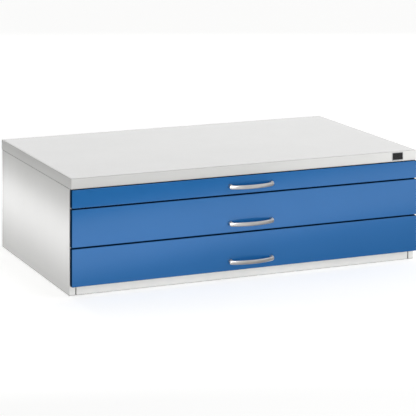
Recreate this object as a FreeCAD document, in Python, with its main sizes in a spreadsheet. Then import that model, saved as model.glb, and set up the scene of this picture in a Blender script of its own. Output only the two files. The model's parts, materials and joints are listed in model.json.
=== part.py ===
"""A low flat file cabinet for A0 sheets: a sheet-steel case with three full-width drawers.

Millimetres. +X runs to the right of someone facing the drawers, +Y runs to the back and +Z runs up.
The origin is at floor level, in the middle of the footprint of the fronts, case and top plate.
"""

import FreeCAD
import Part
import Sketcher

import math
import os
from types import SimpleNamespace

SIZES = {
    # overall
    "plate_wide": 1350,  # width of the top plate
    "plate_deep": 955,  # depth of the top plate
    "plate_high": 38,  # height of the top plate's rim
    "front_proud": 5,  # how far the drawer fronts stand in front of the top plate
    "plinth_high": 34,  # floor to the lowest drawer's space
    "shallow_space": 70,  # height that the top drawer takes up
    "deep_space": 139,  # height that each other drawer takes up
    # case
    "case_stock": 1.5,  # sheet thickness
    "case_play": 0.5,  # between parts that are fitted into each other
    "case_bend": 2.5,  # outer bend radius
    "edge_inset": 1.6,  # case and fronts in from the top plate's ends
    "case_setback": 30,  # faces of the drawer fronts to the front of the case
    "shadow_gap": 2.5,  # side panel to top plate
    "post_wide": 21,  # folded post at each side panel's front and back
    "post_return": 12,  # how far the front post's inner edge is folded back
    "ledge_wide": 4,  # step of the side panel's top flange
    "flange_wide": 20,  # top and bottom flanges of a side panel
    "flange_start": 30,  # case front to a side panel's top flange
    "back_stock": 1.2,  # thickness of the back panel
    "back_inset": 9,  # ends of the case to the edges of the back panel
    "back_margin": 4,  # top and bottom of the case to the back panel, and its corner radius
    "joint_gap": 4,  # post to plinth panel
    "channel_deep": 14,  # flanges of the front and rear base channels
    "channel_high": 40,
    "floor_level": 24,  # underside of the bottom panel
    "floor_stock": 1.2,  # thickness of the bottom panel
    "floor_inset": 4,  # all round the bottom panel
    "floor_flange": 10,
    "top_rail_high": 10,
    "top_rail_deep": 26,
    "runner_wide": 50,
    "runner_inset": 16,  # case front and back to the runner's ends
    # top plate
    "plate_bend": 3,
    "plate_lip": 45,  # return flange round the plate's underside
    "stiffener_wide": 60,
    "stiffener_high": 25,
    "stiffener_place": 320,  # from the middle to each stiffener
    # slides
    "slide_thick": 12.7,  # side of the case to side of the tray
    "post_clear": 1.9,  # slide to the side panel's posts
    "slide_long": 850,
    "slide_setback": 4,  # case front to the rails
    "slide_rise": 32,  # bottom of a drawer's space to the middle of its slides
    "rail_stock": 1.2,
    "outer_half": 22.85,  # half the height of each rail
    "middle_half": 16.8,
    "inner_half": 11.6,
    "rail_wide": 11.5,  # outer rail's flanges
    "middle_start": 2.3,  # outer rail's back to the middle rail's back
    "middle_end": 10.6,
    "inner_start": 4.6,  # outer rail's back to the inner rail's flange tips
    "upright_wide": 40,
    "upright_front": -400,  # middle of the front uprights
    "upright_back": 350,  # middle of the rear uprights
    "upright_high": 370,
    "hole_offset": 10,  # middle of an upright to each rail screw
    # ball cages
    "cage_front": -195,  # cages' front ends with the drawers shut
    "cage_long": 350,
    "cage_wide": 6,
    "cage_stock": 0.8,
    "ball_spacing": 60,
    "ball_play": 0.045,  # ball to rail
    "pocket_play": 0.1,  # ball to cage
    # drawers
    "front_stock": 1.2,
    "front_deep": 22,  # depth of a folded drawer front
    "front_gap": 4,  # between one front and the next
    "front_bend": 2.5,
    "front_lip": 16,
    "tray_stock": 1.2,
    "tray_rise": 10,  # bottom of a drawer's space to the underside of its tray
    "shallow_tray": 46,
    "deep_tray": 110,
    "tray_back": 440,
    "tray_rim": 8,
    "tray_bend": 3,  # radius of the tray's two rear corners
    "hood_deep": 120,
    "hood_lip": 9,
    "hood_play": 2,  # ends of the lip to the tray's rim
    # handles
    "shallow_handle": 34.5,  # bottom of the top drawer's space to its handle's screws
    "deep_handle": 38,  # the same for each other drawer
    "handle_drop": 4,  # screws to the middle of the bow
    "handle_pitch": 160,  # between the two screws
    "handle_long": 176,
    "handle_reach": 38,
    "handle_rise_of_bow": 25,  # from the bow's tips to its middle
    "handle_band": 14.5,
    "handle_thick": 6,
    "handle_soft": 2.2,
    "foot_radius": 6.2,
    "foot_long": 12,  # drawer front to a foot's end inside the bow
    "screw_hole_deep": 9,
    "thread_play": 0.05,
    # small parts
    "screw_play": 0.25,
    "screw_shank": 2,  # radius
    "rail_screw_head": 4,  # radius, then the height of the head and the length of the shank
    "rail_screw_high": 0.8,
    "rail_screw_long": 8,
    "back_screw_head": 4.5,
    "back_screw_high": 2,
    "back_screw_long": 5,
    "plate_screw_head": 4.5,
    "plate_screw_high": 2.5,
    "plate_screw_long": 8,
    "handle_screw_head": 4,
    "handle_screw_high": 2.4,
    "handle_screw_long": 9,
    "buffer_radius": 6,
    "levelling_stem": 5,
    "levelling_play": 0.05,  # stem to its nut's bore
    "levelling_ease": 0.3,  # stem to the hole in the bottom panel
    "levelling_pad": 20,
    "levelling_clear": 2,  # pad to the floor, wound right up
    "levelling_pad_high": 6,
    "levelling_stem_high": 26,
    "levelling_place": 600,  # from the middle to each foot
    "levelling_front": -400,
    "levelling_back": 425,
    "nut_high": 8,
    "nut_across": 17,
    "label_wide": 46,
    "label_high": 30,
    "label_stock": 0.8,
    "label_place": 79,  # from the right end of the top plate
}

doc = FreeCAD.newDocument("flat_file_cabinet")
nodes = []


class Bound:
    """A length as a number and as the spreadsheet expression that gives it."""

    def __init__(self, value, words):
        self.value = value
        self.words = words

    @staticmethod
    def of(thing):
        """Any plain number as a Bound."""
        return thing if isinstance(thing, Bound) else Bound(float(thing), str(float(thing)))

    def __add__(self, other):
        other = Bound.of(other)
        return Bound(self.value + other.value, f"({self.words} + {other.words})")

    def __sub__(self, other):
        other = Bound.of(other)
        return Bound(self.value - other.value, f"({self.words} - {other.words})")

    def __mul__(self, other):
        other = Bound.of(other)
        return Bound(self.value * other.value, f"({self.words} * {other.words})")

    def __truediv__(self, other):
        other = Bound.of(other)
        return Bound(self.value / other.value, f"({self.words} / {other.words})")

    def __neg__(self):
        return self * -1

    def __radd__(self, other):
        return Bound.of(other) + self

    def __rsub__(self, other):
        return Bound.of(other) - self

    __rmul__ = __mul__


def write_sizes():
    """Fills the spreadsheet with the driving dimensions and gives each back as a Bound."""
    sheet = doc.addObject("Spreadsheet::Sheet", "sizes")
    bound = {}
    for row, (alias, value) in enumerate(SIZES.items(), 1):
        sheet.set(f"A{row}", alias)
        sheet.set(f"B{row}", str(value))
        sheet.setAlias(f"B{row}", alias)
        bound[alias] = Bound(float(value), f"sizes.{alias}")
    doc.recompute()
    return SimpleNamespace(**bound)


def bind(thing, field, length):
    """Ties a field of an object to the spreadsheet."""
    thing.setExpression(field, Bound.of(length).words)


def place(thing, across=0, back=0, up=0):
    """Ties an object's position to the spreadsheet."""
    bind(thing, "Placement.Base.x", across)
    bind(thing, "Placement.Base.y", back)
    bind(thing, "Placement.Base.z", up)


def keep(label, thing):
    """Makes an object one of the cabinet's sub-parts."""
    thing.Label = label
    nodes.append(thing)
    return thing


def new_body(label):
    return doc.addObject("PartDesign::Body", label)


def rectangle(low_x, low_y, high_x, high_y):
    return [(low_x, low_y), (high_x, low_y), (high_x, high_y), (low_x, high_y)]


def sided(side, inner, outer):
    """Lowest and highest X of a stretch that runs from inner to outer from the middle, on one side."""
    return (inner, outer) if side > 0 else (-outer, -inner)


def attached_sketch(body, plane, name, offset):
    """An empty sketch on one of the body's own origin planes, moved along its normal by offset."""
    sketch = body.newObject("Sketcher::SketchObject", f"{body.Name}_{name}")
    support = [feature for feature in body.Origin.OriginFeatures if feature.Role == f"{plane}_Plane"][0]
    sketch.AttachmentSupport = (support, "")
    sketch.MapMode = "FlatFace"
    bind(sketch, "AttachmentOffset.Base.z", offset)
    return sketch


def hold(sketch, geometry, point, x, y):
    """Ties a point of a sketch's geometry to the spreadsheet by its distances from the origin."""
    for kind, length in (("DistanceX", x), ("DistanceY", y)):
        length = Bound.of(length)
        index = sketch.addConstraint(Sketcher.Constraint(kind, -1, 1, geometry, point, length.value))
        bind(sketch, f"Constraints[{index}]", length)


def draw_outline(sketch, corners, circles):
    """Draws a closed polygon and circles, every corner, centre and radius tied to the spreadsheet."""
    points = [FreeCAD.Vector(Bound.of(x).value, Bound.of(y).value, 0) for x, y in corners]
    count = len(points)
    for index, point in enumerate(points):
        sketch.addGeometry(Part.LineSegment(point, points[(index + 1) % count]), False)
    for index in range(count):
        sketch.addConstraint(Sketcher.Constraint("Coincident", index, 2, (index + 1) % count, 1))
    for index, (x, y) in enumerate(corners):
        hold(sketch, index, 1, x, y)
    for x, y, radius in circles:
        centre = FreeCAD.Vector(Bound.of(x).value, Bound.of(y).value, 0)
        radius = Bound.of(radius)
        circle = sketch.addGeometry(Part.Circle(centre, FreeCAD.Vector(0, 0, 1), radius.value), False)
        hold(sketch, circle, 3, x, y)
        index = sketch.addConstraint(Sketcher.Constraint("Radius", circle, radius.value))
        bind(sketch, f"Constraints[{index}]", radius)


def swept(body, kind, plane, corners, circles, low, high):
    """Pads or pockets an outline between two levels along the plane's normal.

    The outline is in (x, y) on XY, in (x, z) on XZ and in (y, z) on YZ. The XZ plane's normal is -Y.
    """
    low, high = Bound.of(low), Bound.of(high)
    name = f"{kind.lower()}_{len(body.Group)}"
    sketch = attached_sketch(body, plane, f"{name}_outline", -high if plane == "XZ" else low)
    draw_outline(sketch, corners, circles)
    feature = body.newObject(f"PartDesign::{kind}", f"{body.Name}_{name}")
    feature.Profile = sketch
    feature.Type = "Length"
    bind(feature, "Length", high - low)
    feature.Reversed = kind == "Pocket"
    return feature


def add(body, plane, corners, low, high, circles=()):
    """Adds material inside an outline, with circles as holes in it."""
    return swept(body, "Pad", plane, corners, circles, low, high)


def cut(body, plane, corners, low, high, circles=()):
    """Removes material inside an outline, or inside circles alone, and checks that it did."""
    doc.recompute()
    before = body.Shape.Volume
    feature = swept(body, "Pocket", plane, corners, circles, low, high)
    doc.recompute()
    if not body.Shape.Volume < before:
        raise RuntimeError(f"{feature.Name} removes nothing")
    return feature


def round_edges(body, radius, chosen):
    """Rounds the edges of the body's tip that chosen(bound box) picks."""
    doc.recompute()
    tip = body.Tip
    picked = [f"Edge{n}" for n, edge in enumerate(tip.Shape.Edges, 1) if chosen(edge.BoundBox)]
    if not picked:
        raise RuntimeError(f"{body.Name} has no such edge to round")
    fillet = body.newObject("PartDesign::Fillet", f"{body.Name}_bend_{len(body.Group)}")
    fillet.Base = (tip, picked)
    bind(fillet, "Radius", radius)
    return fillet


def near(a, b):
    return abs(a - Bound.of(b).value) < 0.01


def rotated(thing, axis, degrees):
    """Turns an object about its own origin."""
    thing.Placement.Rotation = FreeCAD.Rotation(FreeCAD.Vector(*axis), degrees)
    return thing


def cylinder(name, radius, height, low=0):
    """A cylinder along Z that starts at the level low."""
    shape = doc.addObject("Part::Cylinder", name)
    bind(shape, "Radius", radius)
    bind(shape, "Height", height)
    bind(shape, "Placement.Base.z", low)
    return shape


def fused(name, shapes):
    joined = doc.addObject("Part::MultiFuse", name)
    joined.Shapes = shapes
    return joined


def group(label, shapes):
    """Separate solids that count as one sub-part."""
    together = doc.addObject("Part::Compound", label)
    together.Links = shapes
    return keep(label, together)


def hexagon(name, across, height, low=0):
    """A hexagonal prism along Z, given across its flats."""
    prism = doc.addObject("Part::Prism", name)
    prism.Polygon = 6
    bind(prism, "Circumradius", across / math.sqrt(3))
    bind(prism, "Height", height)
    bind(prism, "Placement.Base.z", low)
    return prism


def screw(kind, number):
    """A socket screw along +Z: its head is below the origin and its shank is above it."""
    name = f"{kind}_screw_{number}"
    head_radius, head_high, shank_long = [
        getattr(size, f"{kind}_screw_{part}") for part in ("head", "high", "long")
    ]
    head = cylinder(f"{name}_head", head_radius, head_high, -head_high)
    shank = cylinder(f"{name}_shank", size.screw_shank, shank_long)
    socket = hexagon(f"{name}_socket", size.screw_shank, head_high / 2, -head_high)
    whole = doc.addObject("Part::Cut", name)
    whole.Base = fused(f"{name}_blank", [head, shank])
    whole.Tool = socket
    return whole


def is_upright_edge(box):
    return box.XLength < 0.01 and box.YLength < 0.01 and box.ZLength > 1


def is_depth_edge(box):
    return box.XLength < 0.01 and box.ZLength < 0.01 and box.YLength > 1


# ---------------------------------------------------------------- case


def top_plate():
    """A folded lid, open underneath, with a return flange all round."""
    body = keep("top_plate", new_body("top_plate"))
    stock = size.case_stock
    add(body, "XY", rectangle(-half_wide, plate_front, half_wide, plate_back), plate_base, top_level)
    round_edges(body, size.plate_bend, lambda box: is_upright_edge(box) or near(box.ZMin, top_level))
    lip_level = plate_base + stock
    cut(
        body, "XY",
        rectangle(-half_wide + stock, plate_front + stock, half_wide - stock, plate_back - stock),
        lip_level, top_level - stock,
    )
    lip = size.plate_lip
    cut(
        body, "XY",
        rectangle(-half_wide + lip, plate_front + lip, half_wide - lip, plate_back - lip),
        plate_base, lip_level,
    )
    holes = [(side * flange_screws, back, screw_hole) for side in (-1, 1) for back in TOP_SCREWS]
    cut(body, "XY", [], plate_base, lip_level, holes)


def top_stiffeners():
    """Two folded hat sections under the lid, from front to back."""
    made = []
    stock = size.case_stock
    high = top_level - stock
    low = high - size.stiffener_high
    for side, word in SIDES:
        body = new_body(f"{word}_top_stiffener")
        middle = side * size.stiffener_place
        half = size.stiffener_wide / 2
        crown = half / 2
        section = [
            (middle - half, high - stock),
            (middle - crown - stock, high - stock),
            (middle - crown - stock, low),
            (middle + crown + stock, low),
            (middle + crown + stock, high - stock),
            (middle + half, high - stock),
            (middle + half, high),
            (middle + crown, high),
            (middle + crown, low + stock),
            (middle - crown, low + stock),
            (middle - crown, high),
            (middle - half, high),
        ]
        add(body, "XZ", section, plate_front + 2 * stock, plate_back - 2 * stock)
        made.append(body)
    group("top_stiffeners", made)


def side_panel(side, word):
    """A folded side: a post at the front, a flange at the back, a foot flange and a stepped top flange."""
    body = keep(f"{word}_side_panel", new_body(f"{word}_side_panel"))
    stock = size.case_stock
    wall = case_half - stock
    post = case_half - size.post_wide
    plan = [
        (case_half, case_front),
        (case_half, case_back),
        (post, case_back),
        (post, case_back - stock),
        (wall, case_back - stock),
        (wall, case_front + stock),
        (post + stock, case_front + stock),
        (post + stock, case_front + size.post_return),
        (post, case_front + size.post_return),
        (post, case_front),
    ]
    add(body, "XY", [(side * x, y) for x, y in plan], 0, side_top)
    inner = wall - size.flange_wide
    add(
        body, "XY",
        rectangle(side * inner, case_front + stock, side * wall, case_back - stock), 0, stock,
    )
    step = wall - size.ledge_wide
    section = [
        (wall, side_top - stock),
        (wall, side_top),
        (step + stock, side_top),
        (step + stock, plate_base),
        (inner, plate_base),
        (inner, plate_base - stock),
        (step, plate_base - stock),
        (step, side_top - stock),
    ]
    start = case_front + size.flange_start
    add(body, "XZ", [(side * x, z) for x, z in section], start, case_back - stock)
    holes = [(side * flange_screws, back, screw_hole) for back in TOP_SCREWS]
    cut(body, "XY", [], plate_base - stock, plate_base, holes)
    holes = [(side * back_screws, up, screw_hole) for up in BACK_SCREWS]
    cut(body, "XZ", [], case_back - stock, case_back, holes)
    corner = side * case_half
    round_edges(body, size.case_bend, lambda box: is_upright_edge(box) and near(box.XMin, corner))


def back_panel():
    """A flat sheet over the back of the case."""
    body = keep("back_panel", new_body("back_panel"))
    half = case_half - size.back_inset
    margin = size.back_margin
    screws = [(side * back_screws, up, screw_hole) for side in (-1, 1) for up in BACK_SCREWS]
    screws += [(across, BASE_SCREW_LEVEL, screw_hole) for across in BASE_SCREWS]
    add(
        body, "XZ", rectangle(-half, margin, half, side_top - margin),
        case_back, case_back + size.back_stock, screws,
    )
    round_edges(body, margin, lambda box: is_depth_edge(box) and near(abs(box.XMin), half))


def base_channel(label, face, inward, half, end_returns):
    """A cross member on the floor, its web at the face of the case and its flanges folded inward."""
    body = keep(label, new_body(label))
    stock = size.case_stock
    top = size.channel_high
    deep = face + inward * size.channel_deep
    web = face + inward * stock
    section = [
        (face, 0),
        (deep, 0),
        (deep, stock),
        (web, stock),
        (web, top - stock),
        (deep, top - stock),
        (deep, top),
        (face, top),
    ]
    add(body, "YZ", section, -half, half)
    if end_returns:
        rim = face + inward * size.post_return
        add(body, "YZ", rectangle(face, 0, rim, top), -half, -half + stock)
        add(body, "YZ", rectangle(face, 0, rim, top), half - stock, half)
        round_edges(body, size.case_bend, lambda box: is_upright_edge(box) and near(box.YMin, face)
                    and near(abs(box.XMin), half))
    return body


def base():
    """The parts under the lowest drawer."""
    plinth_half = case_half - size.post_wide - size.joint_gap
    base_channel("front_plinth_panel", case_front, 1, plinth_half, True)
    rail_half = case_half - size.post_wide - size.case_play
    rail = base_channel("rear_base_rail", case_back, -1, rail_half, False)
    holes = [(across, BASE_SCREW_LEVEL, screw_hole) for across in BASE_SCREWS]
    cut(rail, "XZ", [], case_back - size.case_stock, case_back, holes)

    floor = keep("bottom_panel", new_body("bottom_panel"))
    stock = size.floor_stock
    half = plinth_half - size.floor_inset
    front, back = case_front + size.floor_inset, case_back - size.floor_inset
    level = size.floor_level
    clear = size.levelling_stem + size.levelling_ease
    holes = [(x, y, clear) for x, y in foot_places]
    add(floor, "XY", rectangle(-half, front, half, back), level, level + stock, holes)
    flange = rectangle(-half, level - size.floor_flange, half, level)
    add(floor, "XZ", flange, front, front + stock)
    add(floor, "XZ", flange, back - stock, back)

    runner = keep("centre_base_runner", new_body("centre_base_runner"))
    half = size.runner_wide / 2
    stock = size.case_stock
    section = [
        (-half, 0),
        (half, 0),
        (half, level),
        (half - stock, level),
        (half - stock, stock),
        (-half + stock, stock),
        (-half + stock, level),
        (-half, level),
    ]
    add(runner, "XZ", section, case_front + size.runner_inset, case_back - size.runner_inset)


def front_top_rail():
    """A channel across the case above the top drawer."""
    body = keep("front_top_rail", new_body("front_top_rail"))
    stock = size.case_stock
    half = case_half - size.post_wide
    low = plate_base - size.top_rail_high
    deep = case_front + size.top_rail_deep
    web = case_front + stock
    section = [
        (case_front, low),
        (deep, low),
        (deep, low + stock),
        (web, low + stock),
        (web, plate_base - stock),
        (deep, plate_base - stock),
        (deep, plate_base),
        (case_front, plate_base),
    ]
    add(body, "YZ", section, -half, half)


def slide_uprights():
    """Four folded uprights on the side panels, which carry the outer rails."""
    made = []
    stock = size.case_stock
    half = size.upright_wide / 2
    wall = case_half - stock
    for side, word in SIDES:
        for middle, end in ((size.upright_front, "front"), (size.upright_back, "rear")):
            body = new_body(f"{word}_{end}_upright")
            plan = [
                (rail_back, middle - half),
                (wall, middle - half),
                (wall, middle - half + stock),
                (rail_back + stock, middle - half + stock),
                (rail_back + stock, middle + half - stock),
                (wall, middle + half - stock),
                (wall, middle + half),
                (rail_back, middle + half),
            ]
            add(body, "XY", [(side * x, y) for x, y in plan], stock, size.upright_high)
            holes = [
                (middle + way * size.hole_offset, drawer.base + size.slide_rise, screw_hole)
                for drawer in drawers
                for way in (-1, 1)
            ]
            low, high = sided(side, rail_back, rail_back + stock)
            cut(body, "YZ", [], low, high, holes)
            made.append(body)
    group("slide_uprights", made)


def levelling_feet():
    """Four levelling feet and the nuts under the bottom panel that hold them."""
    nuts = []
    for index, (x, y) in enumerate(foot_places):
        nut = doc.addObject("Part::Cut", f"foot_nut_{index + 1}")
        nut.Base = hexagon(f"foot_nut_{index + 1}_blank", size.nut_across, size.nut_high)
        bore = size.levelling_stem + size.levelling_play
        nut.Tool = cylinder(f"foot_nut_{index + 1}_bore", bore, size.nut_high)
        place(nut, x, y, size.floor_level - size.nut_high)
        nuts.append(nut)
        label = f"{FOOT_NAMES[index]}_levelling_foot"
        pad = cylinder(f"{label}_pad", size.levelling_pad, size.levelling_pad_high)
        stem_low = size.levelling_pad_high
        stem = cylinder(f"{label}_stem", size.levelling_stem, size.levelling_stem_high, stem_low)
        foot = keep(label, fused(label, [pad, stem]))
        place(foot, x, y, size.levelling_clear)
    group("foot_nuts", nuts)


def label_plate():
    """A blank label plate on the right of the top plate's front."""
    body = keep("label_plate", new_body("label_plate"))
    middle = half_wide - size.label_place
    level = plate_base + size.plate_high / 2
    wide, high = size.label_wide / 2, size.label_high / 2
    add(
        body, "XZ", rectangle(middle - wide, level - high, middle + wide, level + high),
        plate_front - size.label_stock, plate_front,
    )


def case_screws():
    """The screws that hold the rails, the back panel and the top plate."""
    rail_screws = []
    for drawer in drawers:
        level = drawer.base + size.slide_rise
        for side, word in SIDES:
            for middle in (size.upright_front, size.upright_back):
                for way in (-1, 1):
                    made = rotated(screw("rail", len(rail_screws) + 1), (0, 1, 0), 90 * side)
                    place(made, side * (rail_back - size.rail_stock), middle + way * size.hole_offset, level)
                    rail_screws.append(made)
    group("rail_screws", rail_screws)

    places = [(side * back_screws, up) for side in (-1, 1) for up in BACK_SCREWS]
    places += [(across, BASE_SCREW_LEVEL) for across in BASE_SCREWS]
    panel_screws = []
    for number, (across, up) in enumerate(places, 1):
        made = rotated(screw("back", number), (1, 0, 0), 90)
        place(made, across, case_back + size.back_stock, up)
        panel_screws.append(made)
    group("back_panel_screws", panel_screws)

    plate_screws = []
    for side in (-1, 1):
        for back in TOP_SCREWS:
            made = screw("plate", len(plate_screws) + 1)
            place(made, side * flange_screws, back, plate_base - size.case_stock)
            plate_screws.append(made)
    group("top_plate_screws", plate_screws)


def drawer_buffers():
    """A rubber buffer on each front post for every drawer front to close on."""
    made = []
    deep = size.case_setback - size.front_deep
    for drawer in drawers:
        for side, word in SIDES:
            name = f"{drawer.word}_{word}_buffer"
            buffer = rotated(cylinder(name, size.buffer_radius, deep), (1, 0, 0), 90)
            place(buffer, side * (case_half - size.post_wide / 2), case_front, drawer.base + drawer.space / 2)
            made.append(buffer)
    group("drawer_buffers", made)


# ---------------------------------------------------------------- slides


def rail_section(side, back, tip, half, facing):
    """A C section in (x, z), its web at back and its flange tips at tip, from the outer rail's back."""
    stock = size.rail_stock
    web = back + facing * stock
    section = [
        (back, -half),
        (tip, -half),
        (tip, stock - half),
        (web, stock - half),
        (web, half - stock),
        (tip, half - stock),
        (tip, half),
        (back, half),
    ]
    return [(side * (rail_back - out), up) for out, up in section]


def rail(drawer, side, word, kind):
    """One member of a telescopic slide."""
    label = f"{drawer.word}_{word}_{kind}_rail"
    body = keep(label, new_body(label))
    back, tip, half, facing = {
        "outer": (Bound.of(0), size.rail_wide, size.outer_half, 1),
        "middle": (size.middle_start, size.middle_end, size.middle_half, 1),
        "inner": (size.slide_thick, size.inner_start, size.inner_half, -1),
    }[kind]
    front = case_front + size.slide_setback
    add(body, "XZ", rail_section(side, back, tip, half, facing), front, front + size.slide_long)
    if kind == "outer":
        holes = [
            (middle + way * size.hole_offset, 0, screw_hole)
            for middle in (size.upright_front, size.upright_back)
            for way in (-1, 1)
        ]
        low, high = sided(side, rail_back - size.rail_stock, rail_back)
        cut(body, "YZ", [], low, high, holes)
    place(body, up=drawer.base + size.slide_rise)


def ball_cages(drawer, train, larger, smaller, out):
    """The strips of balls between two members of both of a drawer's slides, above and below.

    larger and smaller are half the heights of the two members, and out is how far the balls are from
    the outer rail's back.
    """
    race = larger - size.rail_stock
    radius = (race - smaller) / 2 - size.ball_play
    middle_level = (race + smaller) / 2
    strip_half = size.cage_wide / 2
    rear = size.cage_front + size.cage_long
    first = size.cage_front + (size.cage_long - (BALLS_ALONG - 1) * size.ball_spacing) / 2
    made = []
    for side, word in SIDES:
        across = side * (rail_back - out)
        for way, end in ((-1, "lower"), (1, "upper")):
            level = way * middle_level
            name = f"{drawer.word}_{word}_{train}_{end}"
            strip = new_body(f"{name}_strip")
            along = [first + n * size.ball_spacing for n in range(BALLS_ALONG)]
            pockets = [(across, back, radius + size.pocket_play) for back in along]
            add(
                strip, "XY", rectangle(across - strip_half, size.cage_front, across + strip_half, rear),
                level - size.cage_stock / 2, level + size.cage_stock / 2, pockets,
            )
            made.append(strip)
            for n, back in enumerate(along, 1):
                ball = doc.addObject("Part::Sphere", f"{name}_ball_{n}")
                bind(ball, "Radius", radius)
                place(ball, across, back, level)
                made.append(ball)
    cages = group(f"{drawer.word}_{train}_ball_cages", made)
    place(cages, up=drawer.base + size.slide_rise)


def slides(drawer):
    """Both telescopic slides of a drawer."""
    for kind in ("outer", "middle", "inner"):
        for side, word in SIDES:
            rail(drawer, side, word, kind)
    outer_race = (size.middle_start + size.middle_end) / 2
    ball_cages(drawer, "outer", size.outer_half, size.middle_half, outer_race)
    inner_race = (size.inner_start + size.middle_end) / 2
    ball_cages(drawer, "inner", size.middle_half, size.inner_half, inner_race)


# ---------------------------------------------------------------- drawers


def handle_holes(drawer):
    """The two handle screw holes, as circles in (x, z)."""
    return [(side * size.handle_pitch / 2, drawer.handle_rise, screw_hole) for side in (-1, 1)]


def drawer_front(drawer):
    """A folded pan with its open side to the back and a lip on each end."""
    label = f"{drawer.word}_drawer_front"
    body = keep(label, new_body(label))
    stock = size.front_stock
    low, high = size.front_gap / 2, drawer.space - size.front_gap / 2
    back = front_face + size.front_deep
    add(body, "XZ", rectangle(-case_half, low, case_half, high), front_face, back)
    round_edges(body, size.front_bend, lambda box: is_depth_edge(box) or near(box.YMax, front_face))
    cut(
        body, "XZ", rectangle(-case_half + stock, low + stock, case_half - stock, high - stock),
        front_face + stock, back,
    )
    half_stock = stock / 2
    for side in (-1, 1):
        left, right = sided(side, case_half - size.front_lip, case_half - half_stock)
        add(
            body, "XZ", rectangle(left, low + half_stock, right, high - half_stock),
            back - stock, back,
        )
    cut(body, "XZ", [], front_face, front_face + stock, handle_holes(drawer))
    place(body, up=drawer.base)


def is_rear_corner(box):
    """Picks a tray's or hood's two rear corners."""
    return box.XLength < 0.01 and box.YLength < 0.01 and near(box.YMin, size.tray_back)


def tray(drawer):
    """A welded sheet tray with its rim folded inward."""
    label = f"{drawer.word}_drawer_tray"
    body = keep(label, new_body(label))
    stock, rim = size.tray_stock, size.tray_rim
    low = size.tray_rise
    high = low + drawer.tray_high
    add(body, "XY", rectangle(-tray_half, tray_front, tray_half, size.tray_back), low, high)
    round_edges(body, size.tray_bend, is_rear_corner)
    cut(
        body, "XY",
        rectangle(-tray_half + stock, tray_front + stock, tray_half - stock, size.tray_back - stock),
        low + stock, high - stock,
    )
    cut(
        body, "XY",
        rectangle(-tray_half + rim, tray_front + rim, tray_half - rim, size.tray_back - rim),
        high - stock, high,
    )
    cut(body, "XZ", [], tray_front, tray_front + stock, handle_holes(drawer))
    place(body, up=drawer.base)


def rear_hood(drawer):
    """A sheet across the back of the tray that keeps the paper down."""
    label = f"{drawer.word}_rear_hood"
    body = keep(label, new_body(label))
    stock = size.tray_stock
    low = size.tray_rise + drawer.tray_high
    front = size.tray_back - size.hood_deep
    half = tray_half - size.tray_rim - size.hood_play
    add(body, "XY", rectangle(-tray_half, front, tray_half, size.tray_back), low, low + stock)
    add(body, "XZ", rectangle(-half, low - size.hood_lip, half, low), front, front + stock)
    round_edges(body, size.tray_bend, is_rear_corner)
    place(body, up=drawer.base)


def handle(drawer):
    """A bow with round ends that curves out from the front, hung a little under its two screwed feet."""
    label = f"{drawer.word}_handle"
    body = keep(label, new_body(label))
    thick, rise = size.handle_thick, size.handle_rise_of_bow
    half, level = size.handle_long / 2, size.handle_band / 2
    bow_front = front_face - size.handle_reach
    outer = (half * half + rise * rise) / (2 * rise)
    centre_back = bow_front + outer
    end = half - level
    add(body, "XZ", rectangle(-end, -level, end, level), bow_front, front_face)
    for way in (-1, 1):
        add(body, "XZ", [], bow_front, front_face, [(way * end, 0, level)])
    cut(body, "XY", [], -level, level, [(0, centre_back, outer - thick)])
    corners = 2 * outer
    cut(
        body, "XY", rectangle(-corners, centre_back - corners, corners, centre_back + corners),
        -level, level, [(0, centre_back, outer)],
    )
    round_edges(body, size.handle_soft, lambda box: box.XLength > 0.01)
    places = [side * size.handle_pitch / 2 for side in (-1, 1)]
    drop = size.handle_drop
    for across in places:
        foot = [(across, drop, size.foot_radius)]
        add(body, "XZ", [], front_face - size.foot_long, front_face, foot)
    bore = size.screw_shank + size.thread_play
    for across in places:
        cut(body, "XZ", [], front_face - size.screw_hole_deep, front_face, [(across, drop, bore)])
    place(body, up=drawer.base + drawer.handle_rise - drop)


def handle_screws(drawer):
    """The two screws that hold a handle, put in from inside the tray."""
    made = []
    for side, word in SIDES:
        one = rotated(screw("handle", f"{drawer.word}_{word}"), (1, 0, 0), 90)
        place(one, side * size.handle_pitch / 2, tray_front + size.tray_stock, drawer.handle_rise)
        made.append(one)
    place(group(f"{drawer.word}_handle_screws", made), up=drawer.base)


# ---------------------------------------------------------------- assembly

size = write_sizes()
SIDES = ((-1, "left"), (1, "right"))
FOOT_NAMES = ("front_left", "front_right", "rear_left", "rear_right")
TOP_SCREWS = (-380, -100, 180, 440)  # Y of the screws up into the top plate's flanges
BACK_SCREWS = (50, 150, 250, 350)  # Z of the back panel's screws into the side panels
BASE_SCREWS = (-400, 0, 400)  # X of its screws into the rear base rail
BASE_SCREW_LEVEL = 18
BALLS_ALONG = 6

half_wide = size.plate_wide / 2
case_half = half_wide - size.edge_inset
front_face = -(size.plate_deep + size.front_proud) / 2
plate_front = front_face + size.front_proud
plate_back = plate_front + size.plate_deep
case_front = front_face + size.case_setback
case_back = plate_back - size.edge_inset
plate_base = size.plinth_high + size.shallow_space + 2 * size.deep_space
top_level = plate_base + size.plate_high
side_top = plate_base - size.shadow_gap
flange_screws = case_half - size.case_stock - size.flange_wide / 2 - size.ledge_wide / 2
back_screws = case_half - size.post_wide * 0.7
screw_hole = size.screw_shank + size.screw_play
tray_half = case_half - size.post_wide - size.post_clear - size.slide_thick
rail_back = tray_half + size.slide_thick
tray_front = front_face + size.front_stock
foot_places = [
    (side * size.levelling_place, back)
    for back in (size.levelling_front, size.levelling_back)
    for side in (-1, 1)
]

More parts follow.
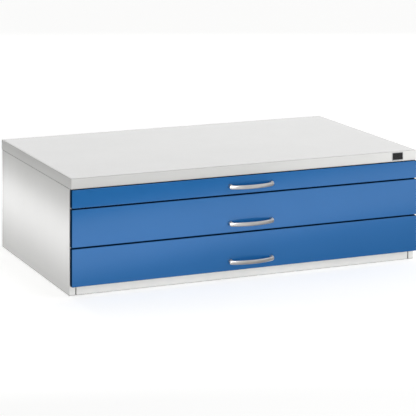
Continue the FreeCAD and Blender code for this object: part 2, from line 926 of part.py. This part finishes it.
drawers = [
    SimpleNamespace(
        word="bottom", base=size.plinth_high, space=size.deep_space, tray_high=size.deep_tray,
        handle_rise=size.deep_handle,
    ),
    SimpleNamespace(
        word="middle", base=size.plinth_high + size.deep_space, space=size.deep_space,
        tray_high=size.deep_tray, handle_rise=size.deep_handle,
    ),
    SimpleNamespace(
        word="top", base=size.plinth_high + 2 * size.deep_space, space=size.shallow_space,
        tray_high=size.shallow_tray, handle_rise=size.shallow_handle,
    ),
]

top_plate()
top_stiffeners()
for side, word in SIDES:
    side_panel(side, word)
back_panel()
base()
front_top_rail()
slide_uprights()
levelling_feet()
label_plate()
case_screws()
drawer_buffers()
for drawer in drawers:
    slides(drawer)
    drawer_front(drawer)
    tray(drawer)
    rear_hood(drawer)
    handle(drawer)
    handle_screws(drawer)

doc.recompute()
for thing in doc.Objects:
    if "Invalid" in thing.State or "Error" in thing.State:
        raise RuntimeError(f"{thing.Label} failed: {thing.State}")
for node in nodes:
    if node.Shape.isNull() or not node.Shape.isValid() or not node.Shape.Solids:
        raise RuntimeError(f"{node.Label} has no valid solid")

os.makedirs("parts", exist_ok=True)
for node in nodes:
    node.Shape.exportStep(f"parts/{node.Label}.step")
print(len(nodes), "sub-parts")
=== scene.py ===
"""Looks, lights and camera for the flat file cabinet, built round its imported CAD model.

Metres, in the frame of the part: +X to the right of someone facing the drawers, +Y to the back, +Z up.
"""

import json
import math

import bpy
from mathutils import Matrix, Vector


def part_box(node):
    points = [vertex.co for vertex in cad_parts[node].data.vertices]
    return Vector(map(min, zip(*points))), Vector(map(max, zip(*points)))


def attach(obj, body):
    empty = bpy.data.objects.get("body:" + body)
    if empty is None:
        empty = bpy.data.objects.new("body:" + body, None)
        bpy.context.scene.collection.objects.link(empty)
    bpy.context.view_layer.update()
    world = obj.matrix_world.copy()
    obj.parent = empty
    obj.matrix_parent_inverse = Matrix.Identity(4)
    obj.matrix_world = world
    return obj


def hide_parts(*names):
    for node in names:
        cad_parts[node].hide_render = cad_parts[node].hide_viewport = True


DRAWERS = ("bottom", "middle", "top")

CASE_GREY = (0.80, 0.797, 0.778)
TRAY_GREY = (0.60, 0.61, 0.60)
FRONT_BLUE = (0.0140, 0.149, 0.425)
SATIN_SILVER = (0.64, 0.62, 0.61)
ZINC = (0.60, 0.62, 0.65)
LABEL_RIM = (0.74, 0.75, 0.76)
LABEL_FIELD = (0.006, 0.0065, 0.007)
RUBBER = (0.018, 0.018, 0.018)
FLOOR_WHITE = (0.90, 0.90, 0.895)
FLOOR_GLOW = 0.64  # brightness that the floor has of its own
ROOM_SHEEN = 0.35  # brightness of the room round the walls, as gloss sees it

EDGE_SOFT = 0.0007  # how wide the folded sheet's edges are rounded in the shading
GAP_REACH = 0.008  # how near to other metal the paint gets painted shade, darker in gaps and under overhangs
PAINT_SHINE = 0.15  # of the paint under its clear gloss
SMOOTH_ANGLE = math.radians(35)  # edges sharper than this stay sharp
BOW_RISE = 0.025  # from a bow's tips to its middle
BOW_THICK = 0.006
BOW_BAND = 0.0145
BOW_FULLNESS = (0.75, 0.6)  # of its section out and up; 1 is an ellipse, 0 a rectangle
FOOT_PLACE = 0.080  # from the middle of a handle to each foot
FOOT_RADIUS = 0.0062
LABEL_CORNER = 0.0025
LABEL_RIM_WIDE = 0.0018

CAMERA_PLACE = Vector((-2.8608, -7.945, 1.8164))
CAMERA_TURN = math.radians(-26.88)  # to the right, from looking straight at the drawers
CAMERA_LENS = 187.4
CAMERA_SHIFT = {"shift_x": -0.642, "shift_y": -1.020}


# ---------------------------------------------------------------- materials


class Surface:
    """A node material under construction, laid over the object's own coordinates."""

    def __init__(self, name):
        self.material = bpy.data.materials.new(name)
        self.material.use_nodes = True
        self.tree = self.material.node_tree
        self.shader = self.tree.nodes["Principled BSDF"]
        self.place = self.tree.nodes.new("ShaderNodeTexCoord").outputs["Object"]

    def node(self, kind, **fields):
        """A new node, with its properties and then its inputs set by name."""
        made = self.tree.nodes.new(f"ShaderNode{kind}")
        for field, value in fields.items():
            setattr(made, field, value)
        return made

    def feed(self, target, value):
        """Puts a number, a colour or another node's output into an input."""
        if isinstance(value, bpy.types.NodeSocket):
            self.tree.links.new(value, target)
        elif isinstance(value, tuple) and len(value) == 3:
            target.default_value = (*value, 1.0)
        else:
            target.default_value = value

    def shade(self, **inputs):
        """Sets inputs of the main shader; underscores stand for spaces in their names."""
        for name, value in inputs.items():
            self.feed(self.shader.inputs[name.replace("_", " ")], value)

    def noise(self, scale, detail=3.0, stretch=(1.0, 1.0, 1.0)):
        """Noise from 0 to 1 with scale features to a metre, stretched along an axis."""
        squeeze = self.node("Mapping")
        self.feed(squeeze.inputs["Vector"], self.place)
        squeeze.inputs["Scale"].default_value = stretch
        noise = self.node("TexNoise")
        self.feed(noise.inputs["Vector"], squeeze.outputs["Vector"])
        self.feed(noise.inputs["Scale"], scale)
        self.feed(noise.inputs["Detail"], detail)
        return noise.outputs["Fac"]

    def scaled(self, value, low, high, start=0.0, end=1.0):
        """Maps start..end of a value onto low..high."""
        ranged = self.node("MapRange")
        for name, number in (("Value", value), ("From Min", start), ("From Max", end),
                             ("To Min", low), ("To Max", high)):
            self.feed(ranged.inputs[name], number)
        return ranged.outputs["Result"]

    def mixed(self, share, first, second):
        """Blends two colours."""
        mix = self.node("Mix", data_type="RGBA")
        self.feed(mix.inputs["Factor"], share)
        self.feed(mix.inputs["A"], first)
        self.feed(mix.inputs["B"], second)
        return mix.outputs["Result"]

    def showing(self, direction):
        """1 on faces turned to a direction and 0 on the folds and returns beside them."""
        turn = self.node("VectorMath", operation="DOT_PRODUCT")
        self.feed(turn.inputs[0], self.node("NewGeometry").outputs["Normal"])
        turn.inputs[1].default_value = direction
        return self.scaled(turn.outputs["Value"], 0.0, 1.0, 0.6, 0.96)

    def edges(self, reach):
        """The share of edge, near 1 on outer edges and 0 on faces, and a normal that rounds them."""
        soft = self.node("Bevel", samples=4)
        self.feed(soft.inputs["Radius"], reach)
        plain = self.node("NewGeometry")
        turn = self.node("VectorMath", operation="DOT_PRODUCT")
        self.feed(turn.inputs[0], soft.outputs["Normal"])
        self.feed(turn.inputs[1], plain.outputs["True Normal"])
        return self.scaled(turn.outputs["Value"], 0.0, 1.0, 0.97, 0.75), soft.outputs["Normal"]

    def bumps(self, layers, normal=None):
        """Stacks height layers of (height, depth in metres) into one normal."""
        for height, depth in layers:
            bump = self.node("Bump")
            self.feed(bump.inputs["Height"], height)
            self.feed(bump.inputs["Distance"], depth)
            if normal is not None:
                self.feed(bump.inputs["Normal"], normal)
            normal = bump.outputs["Normal"]
        return normal


def powder_coat(name, colour, roughness, gloss, peel, flake=0.0, show_face=None):
    """Baked powder paint: orange peel, faint colour drift, edges where the coat lies thinner, and painted
    shade in gaps.

    With a show face, a direction, the returns that face other ways get painted shade: a dark colour, and
    no gloss, flake or shine.
    """
    surface = Surface(name)
    edge, soft_normal = surface.edges(EDGE_SOFT)
    drift = surface.noise(2.3, 2.0)
    grain = surface.noise(900.0, 2.0)
    deep = tuple(channel * 0.965 for channel in colour)
    pale = tuple(min(1.0, channel * 1.02 + 0.004) for channel in colour)
    worn = tuple(min(1.0, channel * 1.12 + 0.03) for channel in colour)
    body = surface.mixed(surface.scaled(drift, 0.0, 1.0, 0.3, 0.7), deep, pale)
    speckled = surface.mixed(surface.scaled(grain, 0.0, 0.10, 0.55, 0.8), body, worn)
    rubbed = surface.noise(60.0, 3.0)
    wear = surface.node("Math", operation="MULTIPLY")
    surface.feed(wear.inputs[0], edge)
    surface.feed(wear.inputs[1], surface.scaled(rubbed, 0.05, 0.45, 0.42, 0.68))
    rubbed_paint = surface.mixed(wear.outputs["Value"], speckled, worn)
    # painted shade: the paint is darkened where other metal is near, in gaps and under overhangs
    nearby = surface.node("AmbientOcclusion", samples=6)
    surface.feed(nearby.inputs["Distance"], GAP_REACH)
    gap_shade = tuple(channel * 0.15 for channel in colour)
    openness = surface.scaled(nearby.outputs["AO"], 0.0, 1.0, 0.25, 0.85)
    painted = surface.mixed(openness, gap_shade, rubbed_paint)
    shine = PAINT_SHINE
    if show_face:
        # painted shade: returns turned away from the show face are painted dark and lose their gloss
        shown = surface.showing(show_face)
        return_shade = tuple(channel * 0.15 for channel in colour)
        painted = surface.mixed(shown, return_shade, painted)
        gloss = surface.scaled(shown, 0.0, gloss)
        flake = surface.scaled(shown, 0.0, flake)
        shine = surface.scaled(shown, 0.0, shine)
    surface.shade(
        Base_Color=painted,
        Roughness=surface.scaled(surface.noise(35.0, 3.0), roughness - 0.03, roughness + 0.04, 0.3, 0.7),
        Specular_IOR_Level=shine,
        Metallic=flake,
        Coat_Weight=gloss,
        Coat_IOR=1.50,
        Coat_Roughness=surface.scaled(grain, 0.07, 0.13, 0.3, 0.7),
    )
    fine = surface.bumps([(surface.noise(420.0, 2.0), peel), (grain, peel * 0.3)], soft_normal)
    surface.shade(Normal=fine, Coat_Normal=fine)
    return surface.material


def brushed_metal(name, colour, roughness, stretch, depth):
    """Metal with fine lines along one axis and slightly brighter edges."""
    surface = Surface(name)
    edge, soft_normal = surface.edges(0.0005)
    lines = surface.noise(1400.0, 3.0, stretch)
    cloud = surface.noise(28.0, 3.0)
    deep = tuple(channel * 0.90 for channel in colour)
    bright = tuple(min(1.0, channel * 1.10 + 0.02) for channel in colour)
    body = surface.mixed(surface.scaled(cloud, 0.0, 1.0, 0.3, 0.7), deep, colour)
    surface.shade(
        Base_Color=surface.mixed(edge, body, bright),
        Metallic=1.0,
        Roughness=surface.scaled(lines, roughness - 0.05, roughness + 0.08, 0.3, 0.7),
        Normal=surface.bumps([(lines, depth), (cloud, depth * 2.0)], soft_normal),
    )
    return surface.material


def zinc_plate(name, colour):
    """Bright zinc plating with its faint crystal pattern."""
    surface = Surface(name)
    edge, soft_normal = surface.edges(0.0003)
    cells = surface.node("TexVoronoi")
    surface.feed(cells.inputs["Vector"], surface.place)
    surface.feed(cells.inputs["Scale"], 160.0)
    flakes = surface.scaled(cells.outputs["Color"], 0.0, 1.0)
    deep = tuple(channel * 0.84 for channel in colour)
    bright = tuple(min(1.0, channel * 1.12) for channel in colour)
    body = surface.mixed(flakes, deep, colour)
    surface.shade(
        Base_Color=surface.mixed(edge, body, bright),
        Metallic=1.0,
        Roughness=surface.scaled(surface.noise(90.0, 3.0), 0.24, 0.38, 0.3, 0.7),
        Normal=surface.bumps([(surface.noise(700.0, 2.0), 0.00002)], soft_normal),
    )
    return surface.material


def matt_rubber(name, colour):
    surface = Surface(name)
    grain = surface.noise(1100.0, 3.0)
    pale = tuple(channel * 1.8 for channel in colour)
    surface.shade(
        Base_Color=surface.mixed(surface.scaled(surface.noise(80.0), 0.0, 1.0, 0.3, 0.7), colour, pale),
        Roughness=surface.scaled(grain, 0.62, 0.80, 0.3, 0.7),
        Normal=surface.bumps([(grain, 0.00005)]),
    )
    return surface.material


def enamel(name, colour):
    """Glossy baked enamel with a little haze."""
    surface = Surface(name)
    pale = tuple(channel * 1.6 for channel in colour)
    surface.shade(
        Base_Color=surface.mixed(surface.scaled(surface.noise(90.0), 0.0, 1.0, 0.3, 0.7), colour, pale),
        Roughness=surface.scaled(surface.noise(240.0), 0.22, 0.34, 0.3, 0.7),
        Normal=surface.bumps([(surface.noise(700.0, 2.0), 0.00001)]),
    )
    return surface.material


def floor_paint(name, colour):
    surface = Surface(name)
    pale = tuple(min(1.0, channel * 1.01) for channel in colour)
    surface.shade(
        Base_Color=surface.mixed(surface.scaled(surface.noise(0.9), 0.0, 1.0, 0.3, 0.7), colour, pale),
        Roughness=0.75,
        Emission_Color=colour,
        Emission_Strength=FLOOR_GLOW,
    )
    return surface.material


# ---------------------------------------------------------------- pieces


def mesh_piece(name, points, faces, material):
    """A mesh object, smooth but for its sharp edges."""
    mesh = bpy.data.meshes.new(name)
    mesh.from_pydata(points, [], faces)
    mesh.validate()
    mesh.update()
    mesh.shade_smooth()
    mesh.set_sharp_from_angle(angle=SMOOTH_ANGLE)
    mesh.materials.append(material)
    made = bpy.data.objects.new(name, mesh)
    bpy.context.scene.collection.objects.link(made)
    return made


def rings_to_faces(rings, around):
    """Faces between rings of points that are numbered one ring after another, and a cap on each end."""
    faces = []
    for ring in range(rings - 1):
        for step in range(around):
            here, there = ring * around + step, ring * around + (step + 1) % around
            faces.append((here, there, there + around, here + around))
    last = (rings - 1) * around
    faces.append(tuple(reversed(range(around))))
    faces.append(tuple(range(last, last + around)))
    return faces


def bow(low, high):
    """Points and faces of a handle's bow: a flat band, crowned across, with round ends."""
    around, along = 40, 64
    out_fullness, up_fullness = BOW_FULLNESS
    half, band = (high.x - low.x) / 2, BOW_BAND / 2
    level = low.z + band
    outer = (half * half + BOW_RISE * BOW_RISE) / (2 * BOW_RISE)
    mean = outer - BOW_THICK / 2
    centre_back = low.y + outer
    points = []
    for station in range(along + 1):
        # the last rings stop just short of the tips, where they would shrink to nothing
        across = half * math.sin(math.pi * (station / along - 0.5)) * 0.9999
        overhang = max(0.0, abs(across) - (half - band)) / band
        height = band * math.sqrt(1.0 - overhang**2)
        tip = max(0.0, abs(across) - (half - BOW_THICK / 2)) / (BOW_THICK / 2)
        thick = BOW_THICK / 2 * math.sqrt(1.0 - tip**2)
        turn = math.asin(across / outer)
        for step in range(around):
            angle = 2.0 * math.pi * step / around
            out = math.copysign(abs(math.cos(angle)) ** out_fullness, math.cos(angle)) * thick
            up = math.copysign(abs(math.sin(angle)) ** up_fullness, math.sin(angle)) * height
            reach = mean + out
            points.append((reach * math.sin(turn), centre_back - reach * math.cos(turn), level + up))
    return points, rings_to_faces(along + 1, around)


def foot(across, back, level):
    """Points and faces of a handle's foot: a short round stub, flared where it meets the front."""
    around = 48
    # metres out from the front, then radius
    profile = (
        (0.0, FOOT_RADIUS + 0.0003),
        (0.0008, FOOT_RADIUS + 0.0004),
        (0.0018, FOOT_RADIUS + 0.0001),
        (0.0040, FOOT_RADIUS - 0.0002),
        (0.0112, FOOT_RADIUS - 0.0002),
        (0.0118, FOOT_RADIUS - 0.0006),
        (0.0120, FOOT_RADIUS - 0.0012),
    )
    points = [
        (
            across + radius * math.cos(2.0 * math.pi * step / around),
            back - out,
            level + radius * math.sin(2.0 * math.pi * step / around),
        )
        for out, radius in profile
        for step in range(around)
    ]
    return points, rings_to_faces(len(profile), around)


def add_handle(drawer):
    """The bow handle of a drawer, with a smoother section than its CAD node."""
    node = f"{drawer}_handle"
    low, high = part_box(node)
    points, faces = bow(low, high)
    for side in (-1.0, 1.0):
        more, rings = foot(side * FOOT_PLACE, high.y, high.z - FOOT_RADIUS)
        faces += [tuple(index + len(points) for index in face) for face in rings]
        points += more
    made = mesh_piece(f"{node}_bow", points, faces, MATERIALS["handle_metal"])
    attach(made, f"{drawer}_drawer")
    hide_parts(node)
    return made


def rounded_outline(wide, high, radius):
    """Points of a rounded rectangle in (x, z) round the origin."""
    steps = 8
    points = []
    for quarter, (side, end) in enumerate(((1, 1), (-1, 1), (-1, -1), (1, -1))):
        for step in range(steps + 1):
            angle = math.pi / 2.0 * (quarter + step / steps)
            points.append((
                side * (wide / 2 - radius) + radius * math.cos(angle),
                end * (high / 2 - radius) + radius * math.sin(angle),
            ))
    return points


def add_label():
    """The blank label plate: a metal rim round a dark enamelled field."""
    low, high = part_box("label_plate")
    middle = (low + high) / 2
    wide, tall, thick = high.x - low.x, high.z - low.z, high.y - low.y
    sunk = thick * 0.35
    # inset from the outline, then height above the rim that it sits on
    levels = (
        (0.0, 0.0),
        (0.0, thick * 0.7),
        (thick * 0.3, thick),
        (LABEL_RIM_WIDE, thick),
        (LABEL_RIM_WIDE + sunk, thick - sunk),
    )
    points = []
    for inset, out in levels:
        radius = max(LABEL_CORNER - inset, 0.0006)
        for x, z in rounded_outline(wide - 2 * inset, tall - 2 * inset, radius):
            points.append((middle.x + x, high.y - out, middle.z + z))
    faces = rings_to_faces(len(levels), len(points) // len(levels))
    made = mesh_piece("label_plate_blank", points, faces, MATERIALS["label_metal"])
    made.data.materials.append(enamel("label_field", LABEL_FIELD))
    made.data.polygons[len(faces) - 1].material_index = 1
    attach(made, "cabinet")
    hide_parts("label_plate")


# ---------------------------------------------------------------- stage


def add_floor():
    """A plain pale floor, far larger than the view."""
    reach = 40.0
    corners = [(-reach, -reach, 0.0), (reach, -reach, 0.0), (reach, reach, 0.0), (-reach, reach, 0.0)]
    floor = mesh_piece("floor", corners, [(0, 1, 2, 3)], floor_paint("floor_paint", FLOOR_WHITE))
    floor.location.z = -0.0004


def add_softbox(name, place, aim, wide, high, watts, in_gloss=True, on_matt=True, only=None):
    """A rectangular lamp that faces a point and that the camera doesn't see.

    It can be kept out of gloss or off matt surfaces, and can be made to light only some objects.
    """
    lamp = bpy.data.lights.new(name, "AREA")
    lamp.shape = "RECTANGLE"
    lamp.size = wide
    lamp.size_y = high
    lamp.energy = watts
    made = bpy.data.objects.new(name, lamp)
    made.location = place
    made.rotation_euler = (Vector(aim) - Vector(place)).to_track_quat("-Z", "Y").to_euler()
    made.visible_camera = False
    made.visible_glossy = in_gloss
    made.visible_diffuse = on_matt
    bpy.context.scene.collection.objects.link(made)
    if only:
        group = bpy.data.collections.new(name)
        for thing in only:
            group.objects.link(thing)
        made.light_linking.receiver_collection = group


def add_reflector(name, low, high, across, stops):
    """A card on the floor that only glossy paint sees, graded in bands across one direction.

    The stops are (metres along that direction, brightness).
    """
    (left, front), (right, back) = low, high
    corners = [(left, front, 0.0), (right, front, 0.0), (right, back, 0.0), (left, back, 0.0)]
    graded = Surface(name)
    along = graded.node("VectorMath", operation="DOT_PRODUCT")
    graded.feed(along.inputs[0], graded.place)
    along.inputs[1].default_value = across
    first, last = stops[0][0], stops[-1][0]
    peak = max(brightness for _, brightness in stops)
    ramp = graded.node("ValToRGB")
    graded.feed(ramp.inputs["Fac"], graded.scaled(along.outputs["Value"], 0.0, 1.0, first, last))
    ramp.color_ramp.interpolation = "EASE"
    bands = ramp.color_ramp.elements
    while len(bands) < len(stops):
        bands.new(0.5)
    for band, (place, brightness) in zip(bands, stops):
        band.position = (place - first) / (last - first)
        band.color = (*[brightness / peak] * 3, 1.0)
    glow = graded.node("Emission")
    graded.feed(glow.inputs["Color"], ramp.outputs["Color"])
    graded.feed(glow.inputs["Strength"], peak)
    graded.tree.links.new(glow.outputs["Emission"], graded.tree.nodes["Material Output"].inputs["Surface"])
    card = mesh_piece(name, corners, [(0, 1, 2, 3)], graded.material)
    card.location.z = 0.001
    card.visible_camera = False
    card.visible_diffuse = False
    card.visible_shadow = False


def add_room_light(walls):
    """White light from the walls round the stage, each given as its direction and strength.

    The camera sees plain white, and gloss sees a little white all round besides the walls.
    """
    world = bpy.data.worlds.new("studio")
    bpy.context.scene.world = world
    world.use_nodes = True
    tree = world.node_tree
    view = tree.nodes.new("ShaderNodeTexCoord").outputs["Generated"]
    ray = tree.nodes.new("ShaderNodeLightPath")
    sheen = tree.nodes.new("ShaderNodeMath")
    sheen.operation = "MULTIPLY_ADD"
    sheen.inputs[1].default_value = ROOM_SHEEN
    tree.links.new(ray.outputs["Is Glossy Ray"], sheen.inputs[0])
    tree.links.new(ray.outputs["Is Camera Ray"], sheen.inputs[2])
    total = sheen.outputs["Value"]
    for direction, strength in walls:
        facing = tree.nodes.new("ShaderNodeVectorMath")
        facing.operation = "DOT_PRODUCT"
        facing.inputs[1].default_value = direction
        tree.links.new(view, facing.inputs[0])
        value = facing.outputs["Value"]
        for operation, number in (("MAXIMUM", 0.0), ("POWER", 2.0), ("MULTIPLY", strength)):
            step = tree.nodes.new("ShaderNodeMath")
            step.operation = operation
            step.inputs[1].default_value = number
            tree.links.new(value, step.inputs[0])
            value = step.outputs["Value"]
        added = tree.nodes.new("ShaderNodeMath")
        tree.links.new(value, added.inputs[0])
        tree.links.new(total, added.inputs[1])
        total = added.outputs["Value"]
    tree.links.new(total, tree.nodes["Background"].inputs["Strength"])
    tree.nodes["Background"].inputs["Color"].default_value = (1.0, 1.0, 1.0, 1.0)


def add_lights(bows):
    """Light from the walls, a lamp high on the right, one behind, and three for single pieces."""
    nodes = frame["nodes"]
    plinth = [nodes[name] for name in ("front_plinth_panel", "left_side_panel", "right_side_panel")]
    fronts = [nodes[f"{drawer}_drawer_front"] for drawer in DRAWERS]
    add_room_light((
        ((1.0, 0.0, 0.0), 0.75),
        ((0.0, 1.0, 0.0), 0.35),
        ((0.0, -1.0, 0.0), 0.38),
        ((0.0, 0.0, 1.0), 0.40),
    ))
    add_softbox("high_box", (4.0, -4.0, 3.0), (0.0, 0.0, 0.2), 3.0, 3.0, 60.0, in_gloss=False)
    add_softbox(
        "low_box", (-0.2, -2.6, 0.30), (-0.2, -0.48, 0.1), 1.2, 0.6, 14.0,
        in_gloss=False, only=plinth + fronts,
    )
    add_softbox("back_box", (3.2, 6.3, 1.9), (0.0, 0.0, 0.4), 6.0, 2.2, 25.0)
    add_softbox(
        "rim_box", (1.5, -1.4, 0.36), (0.3, -0.48, 0.38), 0.6, 0.12, 5.0,
        in_gloss=False, only=[nodes["top_plate"]],
    )
    add_softbox(
        "sparkle_box", (-1.3, -1.6, 0.75), (0.0, -0.5, 0.2), 0.9, 1.4, 26.0,
        on_matt=False, only=bows,
    )


def add_reflectors():
    """The bands of light and dark that the fronts and the left side panel show in their gloss."""
    add_reflector(
        "front_card", (-3.0, -4.0), (3.0, -0.52), (0.35, 1.0, 0.0),
        ((-2.15, 0.0), (-1.75, 1.1), (-1.25, 1.1), (-0.8, 0.40), (-0.4, 0.25)),
    )
    add_reflector(
        "left_card", (-3.0, -1.0), (-0.67, 4.0), (1.0, 0.0, 0.0),
        ((-1.35, 0.0), (-1.22, 0.5), (-0.98, 2.0), (-0.69, 0.75)),
    )


def add_camera():
    """A level camera whose lens is shifted to look down on the cabinet, as in catalogue pictures.

    The shift belongs to this one place: it fades out once the camera is moved, so that the camera
    looks straight ahead in other views.
    """
    data = bpy.data.cameras.new("camera")
    data.sensor_width = 36.0
    data.lens = CAMERA_LENS
    data.clip_end = 100.0
    camera = bpy.data.objects.new("camera", data)
    camera.location = CAMERA_PLACE
    camera.rotation_euler = (math.radians(90.0), 0.0, CAMERA_TURN)
    marker = bpy.data.objects.new("camera_place", None)
    marker.location = CAMERA_PLACE
    for thing in (camera, marker):
        bpy.context.scene.collection.objects.link(thing)
    for field, shift in CAMERA_SHIFT.items():
        setattr(data, field, shift)
        curve = data.driver_add(field)
        while curve.modifiers:
            curve.modifiers.remove(curve.modifiers[0])
        curve.driver.type = "SUM"
        apart = curve.driver.variables.new()
        apart.type = "LOC_DIFF"
        apart.targets[0].id = camera
        apart.targets[1].id = marker
        for distance, amount in ((0.0, shift), (0.1, 0.0)):
            curve.keyframe_points.insert(distance, amount).interpolation = "LINEAR"
        curve.extrapolation = "CONSTANT"
    bpy.context.scene.camera = camera


# ---------------------------------------------------------------- scene

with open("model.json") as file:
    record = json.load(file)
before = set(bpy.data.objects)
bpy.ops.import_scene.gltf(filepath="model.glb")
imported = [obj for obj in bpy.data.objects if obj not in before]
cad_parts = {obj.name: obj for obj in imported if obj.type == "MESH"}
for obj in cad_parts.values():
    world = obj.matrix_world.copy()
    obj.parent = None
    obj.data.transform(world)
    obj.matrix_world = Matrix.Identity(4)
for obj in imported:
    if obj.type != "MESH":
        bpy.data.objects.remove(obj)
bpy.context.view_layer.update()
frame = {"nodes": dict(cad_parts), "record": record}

MATERIALS = {
    "case_paint": powder_coat("case_paint", CASE_GREY, 0.36, 0.8, 0.00004),
    "front_paint": powder_coat("front_paint", FRONT_BLUE, 0.22, 1.0, 0.00002, 0.35, (0.0, -1.0, 0.0)),
    "tray_paint": powder_coat("tray_paint", TRAY_GREY, 0.40, 0.25, 0.00004),
    "handle_metal": brushed_metal("handle_metal", SATIN_SILVER, 0.34, (0.06, 1.0, 1.0), 0.000008),
    "zinc_steel": zinc_plate("zinc_steel", ZINC),
    "buffer_rubber": matt_rubber("buffer_rubber", RUBBER),
    "label_metal": brushed_metal("label_metal", LABEL_RIM, 0.32, (0.05, 1.0, 1.0), 0.000006),
}

for part in frame["record"]["subparts"]:
    node = frame["nodes"][part["node"]]
    node.data.materials.clear()
    node.data.materials.append(MATERIALS[part["material_slot"]])

bows = [add_handle(drawer) for drawer in DRAWERS]
add_label()
add_floor()
add_lights(bows)
add_reflectors()
add_camera()
bpy.context.scene.view_settings.view_transform = "Standard"
